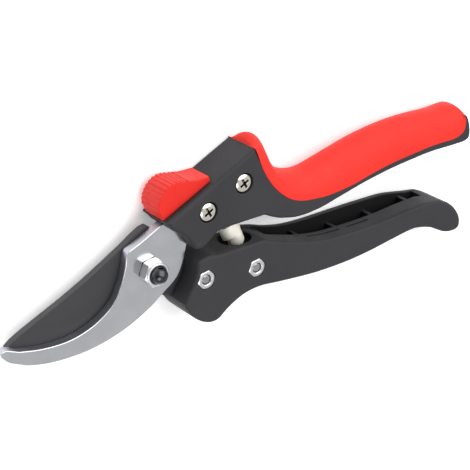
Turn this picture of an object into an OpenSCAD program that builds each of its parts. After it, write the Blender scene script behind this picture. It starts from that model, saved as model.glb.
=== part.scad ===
// Bypass pruning shears, closed and locked, lying on the flat of their back.
// The pivot axis is Z through the origin, the rest plane is z = 0, the jaws point
// along -X and the handles along +X. The hooked jaw is clamped in the upper, soft
// covered handle; the cutting blade behind it is clamped in the lower handle.

/* [Handles] */
// Thickness of both handles from back to front
body_t = 18; // [17.5:0.25:19]
// Edge rounding of the hard handle mouldings
edge_r = 1.5; // [0.8:0.1:1.8]
// How far the soft grip's crest is crowned from its edge to its middle
grip_crown = 7; // [5:0.5:8]
// Thickness of the tall back wall of the lower handle
channel_wall = 3; // [2.5:0.25:3.5]
// Width of the ribbed pockets between that wall and the front land
channel_w = 6; // [5:0.5:8]
// Number of cross ribs in the pockets
ribs = 4; // [3:1:6]

/* [Jaws] */
// Thickness of the hooked jaw
hook_t = 4; // [3.5:0.1:4]
// Thickness of the cutting blade
blade_t = 3; // [2.4:0.1:3]
// Height of the blade's back face above the rest plane
blade_z = 4.9; // [4.6:0.1:5]
// Width of the bevel ground along the cutting edge
bevel_w = 3.5; // [2.5:0.5:4]

/* [Pivot] */
// Diameter of the pivot bolt's shank
pivot_d = 7; // [6:0.5:7.5]
// Width of the pivot nut across its flats
pivot_nut_af = 9.4; // [9:0.2:11]
// Radial running clearance of the blade on the bolt
pivot_play = 0.05; // [0.02:0.01:0.08]

/* [Fasteners] */
// Diameter of the handle screws and bolts
screw_d = 4; // [3.5:0.5:4]
// Head diameter of the handle screws
head_d = 7.6; // [7:0.2:8]
// Width of the handle nuts across their flats
nut_af = 7; // [6.5:0.5:7.5]

/* [Lock] */
// Travel of the lock slider
lock_travel = 8; // [6:0.5:8]
// Width of the lock slider
slider_w = 12; // [11:0.5:13]
// Number of finger ridges over the slider
ridges = 9; // [7:1:11]

/* [Spring] */
// Width of the strip of the double-cone spring
strip_w = 5.6; // [5:0.1:5.8]
// Radius of its widest turn
spring_r = 4.6; // [4.2:0.1:5.8]

/* [Hidden] */
$fn = 48;
GAP = 0.1;                            // play between faces that slide on each other
hook_z = blade_z + blade_t + GAP;     // back face of the hooked jaw
hook_top = hook_z + hook_t;           // front face of the hooked jaw
mid_z = body_t / 2;
LEAN = 17;                            // slope of the upper handle's top face
NOSE_R = 17.2;                        // both handles' noses end on this radius
HUB_R = 12.5;                         // round heel of the blade
TOP_V = 15.75;                        // height of the top face over the leaning axis
SEAT_UP = [36.4, 9.8];                // spring's end in the upper handle
SEAT_LOW = [41.2, -11.2];             // spring's end in the lower handle
SEAT_R = 6.4;                         // radius of the spring pockets
UPPER_SCREWS = [[25.3, 15.4], [42.7, 20.2]];
LOWER_BOLTS = [[19.4, -11.2], [42.5, -16.8]];
DETENT_U = 24.5;                      // place of the detent along the leaning axis
DETENT_Z = 13.6;
LATCH = [15, 18.2];                   // front and rear of the latch's upright leg
FOOT = [13.6, 3.4];                   // front and top of the latch's foot
BLACK = [0.13, 0.13, 0.14];
RED = [0.9, 0.16, 0.12];
STEEL = [0.74, 0.75, 0.77];
COATED = [0.16, 0.16, 0.17];
NICKEL = [0.82, 0.8, 0.75];

// ---------- curves ----------

// A point of the leaning axes: u runs back along the top face, v stands off it
function lean(u, v) = [u * cos(LEAN) - v * sin(LEAN), u * sin(LEAN) + v * cos(LEAN)];

function blend(a, b, c, d, t) = 0.5 * (2 * b + (c - a) * t
    + (2 * a - 5 * b + 4 * c - d) * t * t + (3 * b - a - 3 * c + d) * t * t * t);

// Smooth line through the given points, n steps between each two
function curve(p, n = 3) = let (m = len(p) - 1) concat(
    [for (i = [0:m - 1], k = [0:n - 1])
        blend(p[max(i - 1, 0)], p[i], p[i + 1], p[min(i + 2, m)], k / n)], [p[m]]);

function arc(r, a0, a1, n) = [for (k = [0:n]) let (a = a0 + (a1 - a0) * k / n)
    [r * cos(a), r * sin(a)]];

function weigh(p, w) = [for (q = p) [q.x, q.y, w]];
function flat(p) = [for (q = p) [q.x, q.y]];
function unit(v) = v / norm(v);

// A counter-clockwise outline moved inwards by d times each point's weight
function inset(p, d) = let (n = len(p), q = flat(p)) [for (i = [0:n - 1])
    let (a = q[(i + n - 1) % n], b = q[i], c = q[(i + 1) % n],
         s = unit(b - a), t = unit(c - b), m = unit([-s.y - t.y, s.x + t.x]),
         k = max(0.6, m * [-s.y, s.x])) b + m * d * p[i].z / k];

// Slab whose two edges step in, in place of a radius r
module moulding(p, z0, z1, r) {
    for (step = [[0.8, 0], [0.3, 0.3], [0, 1]])
        slab(inset(p, step[0] * r), z0 + step[1] * r, z1 - step[1] * r);
}

module slab(p, z0, z1) { translate([0, 0, z0]) linear_extrude(z1 - z0) polygon(flat(p)); }
module rod(at, r, z0, z1) { translate([at.x, at.y, z0]) cylinder(r = r, h = z1 - z0); }
module hex(at, af, z0, z1) {
    translate([at.x, at.y, z0]) cylinder(r = af / 2 / cos(30), h = z1 - z0, $fn = 6);
}
// A block in the leaning axes, from [u, v, z] to [u, v, z]
module lean_block(a, b) {
    rotate([0, 0, LEAN]) translate(a) cube(b - a);
}

// ---------- outlines ----------

// Line where the soft grip's side meets the hard core, from the top face to the end
PARTING = concat([lean(57.1, TOP_V)], curve([[51.3, 25.1], [53.5, 17.8], [57.6, 10.4],
    [63.5, 4.3], [73, 0.4], [82.9, -1.4], [93.3, -1.8], [104, -1.1], [114.8, -0.9],
    [125.7, -1.4], [136.8, -2.1], [148, -3.7], [152.4, -3.3], [154.8, -1.8],
    [155.8, 1.2], [155.7, 3]]), [[155.4, 4.4]]);

UPPER = concat(
    weigh([lean(12.1, TOP_V)], 1.6), weigh([[8.6, 16.3]], 1),
    weigh(arc(NOSE_R, 55, 17, 6), 1),
    weigh(curve([[16.9, 3.6], [18.1, 2.6], [20.3, 2.3], [22.9, 3.1], [26.9, 5.2],
        [29.4, 6]], 2), 1),
    weigh([[39.2, 4.7]], 1),
    weigh(curve([[50, 3.2], [54.6, 0], [59.2, -2.3], [66.3, -4.6], [76.4, -5.4],
        [86.8, -4.7], [100, -3.8], [113.5, -3.6], [124.5, -4.1], [135.5, -4.9],
        [146.7, -6.7]], 2), 1),
    curve([[150.3, -7.2, 1], [153.6, -7.6, 1], [156.6, -7.3, 0.9], [157.8, -5.6, 0.8],
        [158.1, -2.8, 0.6], [157.7, 0.6, 0.4], [157, 2.8, 0.2]], 2),
    [[156.3, 4.1, 0.15]],
    weigh([for (i = [len(PARTING) - 1:-1:1]) PARTING[i]], 0.15),
    weigh([PARTING[0]], 0.8));

CREST = concat(
    curve([[155.4, 6, 0.1], [154.2, 7.4, 0.3], [151.4, 8.2, 0.5], [147.1, 8.9, 0.8],
        [142.5, 9.8, 1]], 2),
    weigh(curve([[137, 11], [131.5, 12], [120.8, 13.4], [110, 13.9], [99.5, 13.6],
        [89, 12.6], [80, 11.6], [75.4, 11.3], [71, 11.9], [66.4, 13.8]], 2), 1),
    weigh(curve([[62.3, 16.7], [59.2, 21.3], [57.5, 26], [57.1, 29.3], [56.3, 32.2],
        [54.8, 34], [52.6, 34.7], [50.8, 33.6]], 2), 0.5));

GRIP = concat(weigh(PARTING, 0), CREST);

// Middle web of the core, which the soft grip wraps
WEB = [[56, 11.5], [60.5, 12.8], [65, 9], [71, 7.2], [76, 6.7], [90, 7.8], [110, 9.2],
    [125, 8.2], [140, 5.6], [150, 3.8], [156, 2.4], [156, -4.5], [137, -3.6],
    [100, -2.6], [76, -3.4], [63, -0.5], [55, 6]];

HOOK = concat(
    curve([[-62.4, -3.6], [-64, -3.9], [-64.8, -4.8], [-63.9, -6.7], [-62.1, -9.1],
        [-58.7, -11.6], [-55.1, -13.9], [-47.5, -16.9], [-39.5, -18.7], [-31.2, -19.7],
        [-22.3, -19.5], [-13.2, -18.1], [-3.5, -15], [4.1, -11.3], [7.6, -9.7],
        [10.8, -7.5], [13.3, -4.2], [15.1, -0.9], [17.2, 3.9]]),
    [[21, 5.2], [27.5, 8.6], lean(52, 2.4), lean(54, 4.4), lean(54, 10.6),
     lean(52, 12.6), lean(22, 12.6)],
    curve([[9.1, 16.2], [2.5, 14], [-2.2, 12.6], [-6.8, 11.5]], 2),
    curve([[-7.8, 10.9], [-9, 8.7], [-10, 5.8], [-12, 1.6], [-14.1, -1.8],
        [-16.5, -4.9], [-19.7, -7.5], [-24.5, -9.8], [-29.2, -11.2], [-35.5, -12],
        [-42, -11.5], [-49.9, -9.6], [-57.4, -6.7]], 3));

// The cutting edge carries the weight of the bevel ground behind it
EDGE = curve([[-60.6, -5.8, 0], [-58.4, -7.8, 0.25], [-53, -10.8, 0.8], [-47, -13, 1],
    [-40, -14.5, 1], [-33, -15, 1], [-26, -14.4, 0.7], [-19.5, -13, 0]]);
BACK = curve([[-2.6, 13.9], [-7.4, 11.8], [-16.9, 8.2], [-26.2, 4.9], [-35.3, 2.1],
    [-44.2, -0.3], [-53, -2.7], [-57.6, -4.2]], 2);

BLADE = concat(EDGE, weigh(concat(
    curve([[-12, -12.4], [-4, -12.8], [4, -14.6], [13, -18.8], [22, -21.2]], 2),
    [[48, -23], [50.5, -21], [50.5, -15], [48.5, -13], [34, -12.9]],
    curve([[27, -9.6], [20, -6.6], [14.6, -5], [12.3, -2.2]], 2),
    arc(HUB_R, 0, 58, 8),
    [[5.4, 14.4], [4.2, 15.6], [1.6, 15.5]], BACK), 0));

// Top line of the lower handle's front wall, and of its taller back wall
FRONT_RIM = curve([[47.8, -6.6], [51.4, -8.7], [57.3, -11.8], [64.3, -15.1],
    [71.6, -18], [79, -20.2], [86.7, -21.8], [94.5, -23.1], [102.5, -24.3],
    [110.6, -25.1], [118.9, -25.7], [127.2, -26.3]], 2);
BACK_RIM = curve([[131, -26.7], [120.4, -23.2], [109.4, -21.2], [98.7, -19.5],
    [88.2, -18], [77.8, -16.5], [67.7, -14.4], [59, -11.2], [53.5, -8.4],
    [47.8, -6]], 2);

LOWER = concat(
    weigh(arc(NOSE_R + 0.4, -8, -50, 6), 1),
    weigh([[8.4, -17.4]], 0.6),
    weigh(curve([[8.6, -19.4], [10, -22.5], [12.2, -25.6], [15, -28.4], [18, -30.1],
        [20.7, -30.5], [22.8, -30], [25.4, -28.6], [28.1, -27.4], [33.2, -25.8],
        [38.2, -25.3], [44, -25.9], [52.6, -28.2], [67.3, -31.8], [77.5, -33.6],
        [88, -34.9], [98.8, -35.5], [109.8, -35.5], [121.1, -35.7], [126.6, -37],
        [132.1, -39.5], [136.4, -42.7], [139.3, -44.8], [142.7, -46.2],
        [146.4, -46.6], [148.4, -44.9], [148.6, -41], [146.5, -36.2],
        [143.2, -32.3], [138.4, -29]], 2), 1),
    weigh(BACK_RIM, 0.4),
    weigh(curve([[40, -5.3], [28.1, -3.7], [23.5, -2.2], [20.5, -2.1]], 2), 1));

// ---------- fasteners ----------

module cross_recess(at, z, r, depth) {
    for (a = [20, 110]) translate([at.x, at.y, z - depth]) rotate([0, 0, a])
        translate([-r, -0.55, 0]) cube([2 * r, 1.1, depth + 1]);
}

// Pan-head screw whose head faces the front, head top at z1
module pan_screw(at, z0, z1) {
    color(NICKEL) difference() {
        union() {
            rod(at, screw_d / 2, z0, z1 - 2);
            rod(at, head_d / 2, z1 - 2.6, z1 - 0.9);
            translate([at.x, at.y, z1 - 0.9])
                cylinder(r1 = head_d / 2, r2 = head_d / 2 - 1.4, h = 0.9);
        }
        cross_recess(at, z1, 2.1, 1.5);
    }
}

// Flat-headed bolt whose head faces the back, head face at z0
module back_bolt(at, z0, z1) {
    color(NICKEL) difference() {
        union() {
            rod(at, head_d / 2, z0, z0 + 2.4);
            rod(at, screw_d / 2, z0 + 2, z1 - 0.5);
            translate([at.x, at.y, z1 - 0.5])
                cylinder(r1 = screw_d / 2, r2 = screw_d / 2 - 0.5, h = 0.5);
        }
        hex(at, 2.5, z0 - 1, z0 + 1.4);
    }
}

// Hexagon nut with both rims turned to a cone
module hex_nut(at, af, bore_d, z0, z1) {
    c = af / 2 / cos(30);
    difference() {
        intersection() {
            hex(at, af, z0, z1);
            translate([at.x, at.y, z0 - 1]) cylinder(r1 = c - 1.6, r2 = c + (z1 - z0 - 1) * 2,
                h = z1 - z0 + 1);
            translate([at.x, at.y, z0]) cylinder(r1 = c + (z1 - z0 - 1) * 2, r2 = c - 1.6,
                h = z1 - z0 + 1);
        }
        rod(at, bore_d / 2, z0 - 1, z1 + 1);
    }
}

// ---------- upper handle ----------

module latch_room(play) {
    // leg, foot and top slot of the latch, swept over the lock's travel
    z0 = blade_z - play;
    z1 = hook_z + play;
    lean_block([LATCH[0] - play, 1 - play, z0], [LATCH[1] + lock_travel + play, TOP_V + 1, z1]);
    lean_block([FOOT[0] - 2 * play, 1 - play, z0], [17, FOOT[1] + play, z1]);
}

module guide_groove() {
    lean_block([14.7, TOP_V - 1.4, 8.9], [27.3 + lock_travel, TOP_V + 1, 12]);
}

module spring_pocket() {
    axis = SEAT_LOW - SEAT_UP;
    turn = atan2(axis.y, axis.x);
    translate([SEAT_UP.x, SEAT_UP.y, mid_z]) rotate([0, 0, turn]) rotate([0, 90, 0])
        cylinder(r = SEAT_R, h = norm(axis));
}

module upper_handle() {
    color(BLACK) difference() {
        union() {
            moulding(UPPER, 0, body_t, edge_r);
            slab(WEB, 4, body_t - 4);
        }
        slab(HOOK, hook_z, hook_top);
        // the nose's corner is cut away behind the blade
        slab([lean(9, TOP_V - 3), lean(16.5, TOP_V + 1), lean(9, TOP_V + 1)], -1, 3.6);
        latch_room(0.3);
        guide_groove();
        spring_pocket();
        for (at = UPPER_SCREWS) {
            rod(at, screw_d / 2 + 0.05, -1, body_t + 1);
            rod(at, head_d / 2 + 0.3, body_t - 2.6, body_t + 1);
            hex(at, nut_af + 0.1, -1, 4);
        }
        rotate([0, 0, LEAN]) translate([DETENT_U, TOP_V + 1, DETENT_Z])
            rotate([90, 0, 0]) cylinder(r = 1.3, h = 5);
    }
}

module upper_grip() {
    // the crest is crowned in steps, from both side faces to the full height at mid thickness
    color(RED) difference() {
        union() for (k = [0:5]) let (z = k == 0 ? 0 : mid_z * (1 - cos(18 * k - 9)))
            slab(inset(GRIP, grip_crown * (1 - sin(18 * k))), z, body_t - z);
        slab(WEB, 4, body_t - 4);
    }
}

module upper_nut(i) {
    color(NICKEL) hex_nut(UPPER_SCREWS[i], nut_af, screw_d + 0.1, 0.8, 4);
}

// ---------- jaws ----------

module hook_jaw() {
    color(STEEL) difference() {
        slab(HOOK, hook_z, hook_top);
        rod([0, 0], pivot_d / 2 + 0.1, hook_z - 1, hook_top + 1);
        for (at = UPPER_SCREWS) rod(at, screw_d / 2 + 0.05, hook_z - 1, hook_top + 1);
    }
}

module cutting_blade() {
    // the bevel is ground in steps on the back, so the edge itself lies next to the hook
    z1 = blade_z + blade_t;
    steps = 6;
    color(COATED) difference() {
        union() for (k = [0:steps])
            slab(inset(BLADE, bevel_w * (1 - k / steps)), blade_z + (blade_t - 0.4) * k / steps, z1);
        rod([0, 0], pivot_d / 2 + pivot_play, blade_z - 1, z1 + 1);
        for (at = LOWER_BOLTS) rod(at, screw_d / 2 + 0.05, blade_z - 1, z1 + 1);
    }
}

// ---------- pivot ----------

module pivot_bolt() {
    color(STEEL) difference() {
        union() {
            hex([0, 0], 11, 0, 3.6);
            rod([0, 0], pivot_d / 2, 3, hook_top + 5.2);
            // ball-shaped end
            translate([0, 0, hook_top + 5.2]) sphere(r = pivot_d / 2);
        }
    }
}

module pivot_washer() {
    color(STEEL) difference() {
        rod([0, 0], 7, 3.6, blade_z - 0.05);
        rod([0, 0], pivot_d / 2 + 0.05, 3, blade_z + 1);
    }
}

module pivot_nut() {
    z = hook_top;
    color(STEEL) difference() {
        union() {
            hex_nut([0, 0], pivot_nut_af, pivot_d, z, z + 4.6);
            rod([0, 0], 4.65, z + 4, z + 5.3);
        }
        rod([0, 0], pivot_d / 2, z - 1, z + 6);
        rod([0, 0], 4.1, z + 3.7, z + 4.9);
    }
}

module pivot_nut_insert() {
    color("ivory") difference() {
        rod([0, 0], 4.1, hook_top + 3.7, hook_top + 4.9);
        rod([0, 0], pivot_d / 2, hook_top, hook_top + 6);
    }
}

// ---------- lock ----------

SLIDER = concat([[12.5, TOP_V + 0.15]],
    curve([[12.3, 19.2], [13, 21.3], [15.1, 23.8], [18.2, 25.6], [21.6, 26.1],
        [24.5, 25.2], [27.9, 22.9], [31.3, 20.4], [36.6, 17.8]], 3),
    [[36.4, TOP_V + 0.15]]);

module lock_slider() {
    z0 = mid_z - slider_w / 2;
    z1 = mid_z + slider_w / 2;
    n = len(SLIDER);
    color(RED) difference() {
        union() {
            rotate([0, 0, LEAN]) slab(SLIDER, z0, z1);
            // guide rib in the top face's groove
            lean_block([15, TOP_V - 1.2, 9.2], [27, TOP_V + 2, 11.7]);
        }
        // valleys between the finger ridges
        for (k = [0:ridges - 1]) let (i = 1 + k * (n - 8) / ridges,
                p = SLIDER[floor(i)] + (SLIDER[floor(i) + 1] - SLIDER[floor(i)]) * (i - floor(i)))
            rotate([0, 0, LEAN]) translate([p.x, p.y, z0 - 1])
                cylinder(r = 0.5, h = slider_w + 2, $fn = 16);
        // socket of the latch's upper end
        lean_block([LATCH[0], TOP_V - 1, blade_z], [LATCH[1], 21, blade_z + blade_t - 0.2]);
        // track of the detent ball with a pocket at each end
        for (u = [DETENT_U, DETENT_U - lock_travel]) rotate([0, 0, LEAN])
            translate([u, TOP_V - 0.6, DETENT_Z]) sphere(r = 1.5, $fn = 32);
        lean_block([DETENT_U - lock_travel, TOP_V - 1, DETENT_Z - 1.2],
                   [DETENT_U, TOP_V + 0.95, DETENT_Z + 1.2]);
    }
}

module lock_latch() {
    z0 = blade_z;
    z1 = blade_z + blade_t - 0.2;
    color(STEEL) union() {
        lean_block([LATCH[0], 1, z0], [LATCH[1], 21, z1]);
        lean_block([FOOT[0], 1, z0], [16, FOOT[1], z1]);
    }
}

module detent_ball() {
    color(STEEL) rotate([0, 0, LEAN]) translate([DETENT_U, TOP_V - 0.65, DETENT_Z])
        sphere(r = 1.25);
}

// Small coil of round wire, written as stacked rings joined by a thin core line
module detent_spring() {
    color(STEEL) rotate([0, 0, LEAN]) translate([DETENT_U, TOP_V - 4, DETENT_Z])
        rotate([-90, 0, 0]) coil(0.95, 0.16, 0, 2.05, 4, 14);
}

// Round wire of radius w along a helix of radius r from z0 to z1
module coil(r, w, z0, z1, turns, steps) {
    m = turns * steps;
    ring = [for (a = [0:60:300]) [cos(a) * w, sin(a) * w]];
    pts = [for (i = [0:m]) let (a = 360 * i / steps, z = z0 + w + (z1 - z0 - 2 * w) * i / m)
        for (q = ring) [(r + q.x) * cos(a), (r + q.x) * sin(a), z + q.y]];
    tube(pts, 6, m);
}

// Skin over m + 1 rings of n points each
module tube(pts, n, m) {
    polyhedron(pts, concat([[for (i = [n - 1:-1:0]) i]],
        [for (k = [0:m - 1], i = [0:n - 1]) let (j = (i + 1) % n)
            each [[k * n + i, k * n + j, (k + 1) * n + j],
                  [k * n + i, (k + 1) * n + j, (k + 1) * n + i]]],
        [[for (i = [0:n - 1]) m * n + i]]));
}

// ---------- lower handle ----------

module channel() {
    x0 = 54.5;
    x1 = 134.5;
    floor_line = curve([[136, -34.5], [128, -33], [121, -32.4], [109.8, -32.3], [98.8, -32.3],
        [88, -31.7], [77.5, -30.3], [67.3, -28.4], [60, -26]], 2);
    z1 = channel_wall + channel_w;
    difference() {
        slab(concat([[52, -5], [52, -15]], [for (i = [len(floor_line) - 1:-1:0]) floor_line[i]],
            [[136, -20], [100, -12]]), channel_wall, z1);
        // the ribs stand square to the rim, spaced evenly from pocket to pocket
        for (k = [1:ribs]) translate([x0 + (x1 - x0) / ribs * k, 0, 0]) rotate([0, 0, -14])
            translate([-0.9, -40, 0]) cube([1.8, 40, body_t]);
    }
    // the ribs' tops, just under the land
    slab(concat([for (q = FRONT_RIM) [q.x, q.y - 0.6]], [[135, -27.8], [136, -18], [100, -8],
        [52, 3]]), channel_wall, z1);
}

module lower_handle() {
    color(BLACK) difference() {
        moulding(LOWER, 0, body_t, edge_r);
        // the front wall is lower than the back wall
        slab(concat(FRONT_RIM, [[131.5, -26.8], [133, -20], [100, -8], [48, 3]]),
            channel_wall + 0.01, body_t + 1);
        channel();
        slab(BLADE, blade_z, blade_z + blade_t);
        spring_pocket();
        for (at = LOWER_BOLTS) {
            rod(at, screw_d / 2 + 0.05, -1, body_t + 1);
            rod(at, head_d / 2 + 0.2, -1, 3);
            hex(at, nut_af + 0.1, body_t - 3.3, body_t + 1);
        }
        // two narrow slots along the front land, cut to the rim's slope
        for (s = [[71.4, -21.4, -14, 17], [91.5, -26.1, -8.5, 12]])
            translate([s[0], s[1], body_t - 6.4]) rotate([0, 0, s[2]]) cube([s[3], 5, 1]);
    }
}

module lower_nut(i) {
    color(NICKEL) hex_nut(LOWER_BOLTS[i], nut_af, screw_d + 0.1, body_t - 3.3, body_t - 0.1);
}

// ---------- spring ----------

// Flat strip wound in a double cone: widest in the middle, narrow at both seats. The
// middle one of its three turns climbs by more than the strip's width, so no two meet.
module return_spring() {
    axis = SEAT_LOW - SEAT_UP;
    len_s = norm(axis) - 0.2;
    t = 0.6;
    steps = 24;
    m = 3 * steps;
    middle = strip_w + 0.55;
    outer = (len_s - strip_w - middle) / 2;
    pts = [for (i = [0:m]) let (s = i / steps, a = 360 * s,
            r = spring_r - (spring_r - 2.1) * abs(s / 1.5 - 1),
            z = 0.1 + outer * min(s, 1) + middle * max(0, min(s - 1, 1)) + outer * max(0, s - 2))
        for (q = [[r - t, 0], [r, 0], [r, strip_w], [r - t, strip_w]])
            [q.x * cos(a), q.x * sin(a), z + q.y]];
    color(NICKEL) translate([SEAT_UP.x, SEAT_UP.y, mid_z])
        rotate([0, 0, atan2(axis.y, axis.x)]) rotate([0, 90, 0]) tube(pts, 4, m);
}

upper_handle();
upper_grip();
hook_jaw();
pan_screw(UPPER_SCREWS[0], 0.9, body_t);  // upper_screw_front
pan_screw(UPPER_SCREWS[1], 0.9, body_t);  // upper_screw_rear
upper_nut(0);  // upper_nut_front
upper_nut(1);  // upper_nut_rear
lock_slider();
lock_latch();
detent_ball();
detent_spring();
pivot_bolt();
pivot_washer();
pivot_nut();
pivot_nut_insert();
lower_handle();
cutting_blade();
back_bolt(LOWER_BOLTS[0], 0.5, body_t - 0.5);  // lower_bolt_front
back_bolt(LOWER_BOLTS[1], 0.5, body_t - 0.5);  // lower_bolt_rear
lower_nut(0);  // lower_nut_front
lower_nut(1);  // lower_nut_rear
return_spring();
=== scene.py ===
"""Bypass pruning shears: the looks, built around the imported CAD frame.

Lengths inside this script are in millimetres and are turned into metres only where a mesh is
made. The pivot axis is Z through the origin, the shears lie on z = 0, jaws towards -X.
"""
import math

import bmesh
import bpy
from mathutils import Matrix, Vector


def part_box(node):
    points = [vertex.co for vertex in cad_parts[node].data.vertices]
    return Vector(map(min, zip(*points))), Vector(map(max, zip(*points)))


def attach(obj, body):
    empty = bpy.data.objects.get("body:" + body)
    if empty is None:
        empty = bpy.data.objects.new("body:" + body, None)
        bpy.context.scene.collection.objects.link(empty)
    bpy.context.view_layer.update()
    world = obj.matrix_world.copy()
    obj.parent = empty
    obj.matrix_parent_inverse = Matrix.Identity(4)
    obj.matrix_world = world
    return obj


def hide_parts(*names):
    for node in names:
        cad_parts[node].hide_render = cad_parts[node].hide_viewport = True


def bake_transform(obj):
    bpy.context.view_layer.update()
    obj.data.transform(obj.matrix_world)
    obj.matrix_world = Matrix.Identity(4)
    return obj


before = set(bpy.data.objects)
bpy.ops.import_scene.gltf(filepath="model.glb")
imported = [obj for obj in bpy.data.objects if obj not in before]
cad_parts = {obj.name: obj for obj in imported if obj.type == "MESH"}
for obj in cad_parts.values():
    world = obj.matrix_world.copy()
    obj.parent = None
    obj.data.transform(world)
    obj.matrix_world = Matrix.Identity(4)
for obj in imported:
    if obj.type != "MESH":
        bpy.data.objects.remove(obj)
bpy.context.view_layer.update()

MM = 0.001
LEAN = math.radians(17)          # slope of the upper handle's top face


def levels(node):
    """Lowest and highest z of a CAD node, in millimetres."""
    low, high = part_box(node)
    return round(low.z / MM, 4), round(high.z / MM, 4)


BACK_Z, FRONT_Z = levels("upper_handle")
MID_Z = (BACK_Z + FRONT_Z) / 2
HOOK_Z0, HOOK_Z1 = levels("hook_jaw")
BLADE_Z0, BLADE_Z1 = levels("cutting_blade")
NUT_Z0, NUT_Z1 = levels("pivot_nut")
HEAD_Z0, WASHER_Z0 = levels("pivot_bolt")[0], levels("pivot_washer")[0]
BOLT_Z1 = levels("pivot_bolt")[1]
SLIDER_Z0, SLIDER_Z1 = levels("lock_slider")

UPPER_SCREWS = ((25.3, 15.4), (42.7, 20.2))
LOWER_BOLTS = ((19.4, -11.2), (42.5, -16.8))
SEAT_UP, SEAT_LOW = (36.4, 9.8), (41.2, -11.2)
TOP_V = 15.75                    # height of the top face over the leaning axis

SCREW_R = 2.0                    # shanks of the M4 screws and bolts
SCREW_BORE = 2.04                # their holes in the handles
JAW_BORE = 2.05                  # their holes in the steel plates and the nuts
NUT_AF = 7.0                     # across flats of the M4 nuts
SCREW_HEAD_R = 3.8
PIVOT_R = 3.5
PIVOT_BORE = 3.55                # its hole in the blade and the washer
PIVOT_HEAD_AF = 11.0
PIVOT_NUT_AF = 9.4
SPRING_POCKET_R = 6.4


# ---------------------------------------------------------------- curves

def lean(u, v):
    """A point of the leaning axes: u runs back along the top face, v stands off it."""
    return (u * math.cos(LEAN) - v * math.sin(LEAN), u * math.sin(LEAN) + v * math.cos(LEAN))


def smooth(points, steps=5):
    """Line through the points, with steps pieces between each two."""
    last = len(points) - 1
    line = []
    for i in range(last):
        around = points[max(i - 1, 0)], points[i], points[i + 1], points[min(i + 2, last)]
        for k in range(steps):
            t = k / steps
            line.append(tuple(
                0.5 * (2 * b + (c - a) * t + (2 * a - 5 * b + 4 * c - d) * t * t
                       + (3 * b - a - 3 * c + d) * t ** 3) for a, b, c, d in zip(*around)))
    line.append(tuple(points[-1]))
    return line


def arc(radius, start, end, steps):
    return [(radius * math.cos(math.radians(start + (end - start) * k / steps)),
             radius * math.sin(math.radians(start + (end - start) * k / steps)))
            for k in range(steps + 1)]


def weigh(points, weight):
    return [(p[0], p[1], weight) for p in points]


def inset(outline, distance):
    """A counter-clockwise outline moved inwards, by the distance times each point's weight."""
    flat = [Vector(p[:2]) for p in outline]
    moved = []
    for i, p in enumerate(flat):
        before, after = p - flat[i - 1], flat[(i + 1) % len(flat)] - p
        s, t = before.normalized(), after.normalized()
        m = Vector((-s.y - t.y, s.x + t.x)).normalized()
        k = max(0.6, m.dot(Vector((-s.y, s.x))))
        weight = outline[i][2] if len(outline[i]) > 2 else 1
        moved.append(p + m * distance * weight / k)
    return moved


# ---------------------------------------------------------------- outlines

PARTING = [lean(57.1, TOP_V)] + smooth([
    (51.3, 25.1), (53.5, 17.8), (57.6, 10.4), (63.5, 4.3), (73, 0.4), (82.9, -1.4),
    (93.3, -1.8), (104, -1.1), (114.8, -0.9), (125.7, -1.4), (136.8, -2.1), (148, -3.7),
    (152.4, -3.3), (154.8, -1.8), (155.8, 1.2), (155.7, 3)]) + [(155.4, 4.4)]

UPPER = (
    weigh([lean(12.1, TOP_V)], 1.6) + weigh([(8.6, 16.3)], 1)
    + weigh(arc(17.2, 55, 17, 10), 1)
    + weigh(smooth([(16.9, 3.6), (18.1, 2.6), (20.3, 2.3), (22.9, 3.1), (26.9, 5.2),
                    (29.4, 6)], 4), 1)
    + weigh([(39.2, 4.7)], 1)
    + weigh(smooth([(50, 3.2), (54.6, 0), (59.2, -2.3), (66.3, -4.6), (76.4, -5.4),
                    (86.8, -4.7), (100, -3.8), (113.5, -3.6), (124.5, -4.1),
                    (135.5, -4.9), (146.7, -6.7)], 4), 1)
    + smooth([(150.3, -7.2, 1), (153.6, -7.6, 1), (156.6, -7.3, 0.9), (157.8, -5.6, 0.8),
              (158.1, -2.8, 0.6), (157.7, 0.6, 0.4), (157, 2.8, 0.2)], 4)
    + [(156.3, 4.1, 0.15)]
    + weigh(PARTING[:0:-1], 0.12)
    + weigh([PARTING[0]], 0.8))

HOOK = (
    smooth([(-62.4, -3.6), (-64, -3.9), (-64.8, -4.8), (-63.9, -6.7), (-62.1, -9.1),
            (-58.7, -11.6), (-55.1, -13.9), (-47.5, -16.9), (-39.5, -18.7), (-31.2, -19.7),
            (-22.3, -19.5), (-13.2, -18.1), (-3.5, -15), (4.1, -11.3), (7.6, -9.7),
            (10.8, -7.5), (13.3, -4.2), (15.1, -0.9), (17.2, 3.9)])
    + [(21, 5.2), (27.5, 8.6), lean(52, 2.4), lean(54, 4.4), lean(54, 10.6),
       lean(52, 12.6), lean(22, 12.6)]
    + smooth([(9.1, 16.2), (2.5, 14), (-2.2, 12.6), (-6.8, 11.5)], 4)
    + smooth([(-7.8, 10.9), (-9, 8.7), (-10, 5.8), (-12, 1.6), (-14.1, -1.8),
              (-16.5, -4.9), (-19.7, -7.5), (-24.5, -9.8), (-29.2, -11.2), (-35.5, -12),
              (-42, -11.5), (-49.9, -9.6), (-57.4, -6.7)]))

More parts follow.
